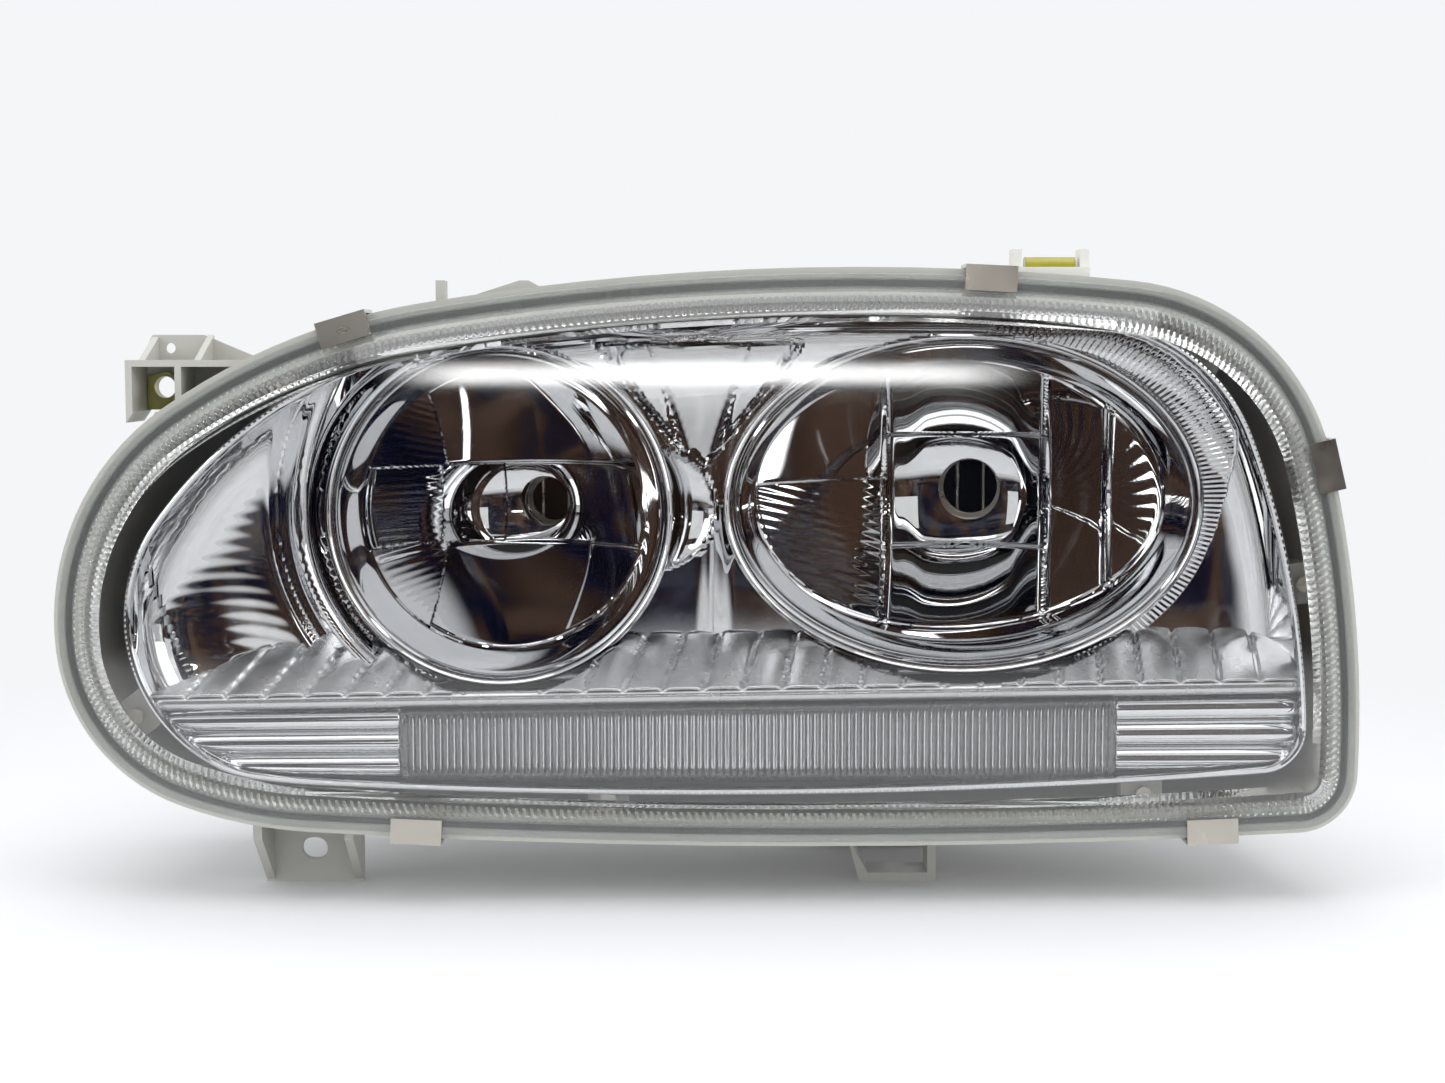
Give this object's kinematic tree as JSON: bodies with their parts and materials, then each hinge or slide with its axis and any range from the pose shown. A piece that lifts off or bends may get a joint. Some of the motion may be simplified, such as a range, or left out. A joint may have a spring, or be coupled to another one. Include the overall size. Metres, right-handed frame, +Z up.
{
  "type": "car headlight assembly",
  "caption": "Twin-bowl car headlight with a clear fluted cover, chrome trim rings, tilting reflectors, aiming screws, light bar and push-on rear dust caps.",
  "frame": {"origin": "bottom centre of the lamp's bounding box, on the plane its feet stand on", "axes": "+X to the right seen from the front along the lamp's width, +Y rearward square to the cover's lip, +Z up"},
  "size_m": [0.435, 0.1781, 0.219],
  "materials": {
    "housing_plastic": "warm grey moulded plastic, fine satin",
    "clear_cover": "clear hard-coated cover",
    "clear_strip": "clear fluted strip",
    "metallised_plastic": "vacuum-metallised, mirror bright",
    "spring_steel": "satin spring steel",
    "zinc_steel": "yellow passivated zinc plate",
    "sealant": "dark sealant bead",
    "rubber": "black rubber",
    "black_plastic": "black moulded plastic",
    "white_plastic": "natural white nylon",
    "yellow_vial": "yellow-green translucent vial",
    "contact_brass": "tinned brass"
  },
  "bodies": {
    "housing": {"housing": "housing_plastic", "lens": "clear_cover", "lens_seal": "sealant", "edge_clips": "spring_steel", "bracket_plate": "zinc_steel", "bezel": "metallised_plastic", "bezel_screws": "zinc_steel", "ring_high": "metallised_plastic", "ring_low": "metallised_plastic", "light_bar_lens": "clear_strip", "light_bar_reflector": "metallised_plastic", "louvre_left": "metallised_plastic", "louvre_right": "metallised_plastic", "pivot_stud": "zinc_steel", "adjuster_bush_vertical": "rubber", "adjuster_bush_horizontal": "rubber", "cap_seal_high": "rubber", "cap_seal_low": "rubber", "connector": "black_plastic", "connector_pins": "contact_brass", "connector_screws": "zinc_steel", "vent_caps": "rubber", "level_holder": "white_plastic", "level_vial": "yellow_vial"},
    "swivel": {"pivot_socket": "white_plastic"},
    "carrier": {"reflector_frame": "black_plastic", "reflector_high": "metallised_plastic", "reflector_low": "metallised_plastic", "bulb_seat_high": "zinc_steel", "bulb_seat_low": "zinc_steel", "adjuster_nut_vertical": "white_plastic", "adjuster_nut_horizontal": "white_plastic"},
    "spring_high": {"bulb_spring_high": "spring_steel"},
    "spring_low": {"bulb_spring_low": "spring_steel"},
    "screw_vertical": {"adjuster_vertical": "white_plastic"},
    "screw_horizontal": {"adjuster_horizontal": "white_plastic"},
    "cap_high": {"cap_high": "black_plastic"},
    "cap_low": {"cap_low": "black_plastic"}
  },
  "joints": [
    {"name": "aim_sideways", "type": "hinge", "parent": "housing", "child": "swivel", "pos_m": [0, -0.00805, 0.07], "axis": [0, 0, 1], "range_deg": [-2, 2]},
    {"name": "aim_height", "type": "hinge", "parent": "swivel", "child": "carrier", "pos_m": [0, -0.00805, 0.07], "axis": [1, 0, 0], "range_deg": [-2.5, 2.5]},
    {"name": "screw_vertical_turn", "type": "hinge", "parent": "housing", "child": "screw_vertical", "pos_m": [0, 0.03825, 0.178], "axis": [0, 1, 0], "range_deg": [-1140, 1140]},
    {"name": "screw_horizontal_turn", "type": "hinge", "parent": "housing", "child": "screw_horizontal", "pos_m": [0.15, 0.03825, 0.07], "axis": [0, 1, 0], "range_deg": [-1262, 1262]},
    {"name": "spring_high_open", "type": "hinge", "parent": "carrier", "child": "spring_high", "pos_m": [-0.05817, 0.03656, 0.1427], "axis": [0.9903, -0.1392, 0], "range_deg": [0, 95]},
    {"name": "spring_low_open", "type": "hinge", "parent": "carrier", "child": "spring_low", "pos_m": [0.1001, 0.04918, 0.1464], "axis": [0.9903, -0.1392, 0], "range_deg": [0, 95]},
    {"name": "cap_high_off", "type": "slide", "parent": "housing", "child": "cap_high", "axis": [0, 1, 0], "range_m": [0, 0.05]},
    {"name": "cap_low_off", "type": "slide", "parent": "housing", "child": "cap_low", "axis": [0, 1, 0], "range_m": [0, 0.05]}
  ],
  "couplings": [
    {"joint": "screw_vertical_turn", "follows": "aim_height", "ratio": 452.39},
    {"joint": "screw_horizontal_turn", "follows": "aim_sideways", "ratio": -628.32}
  ]
}
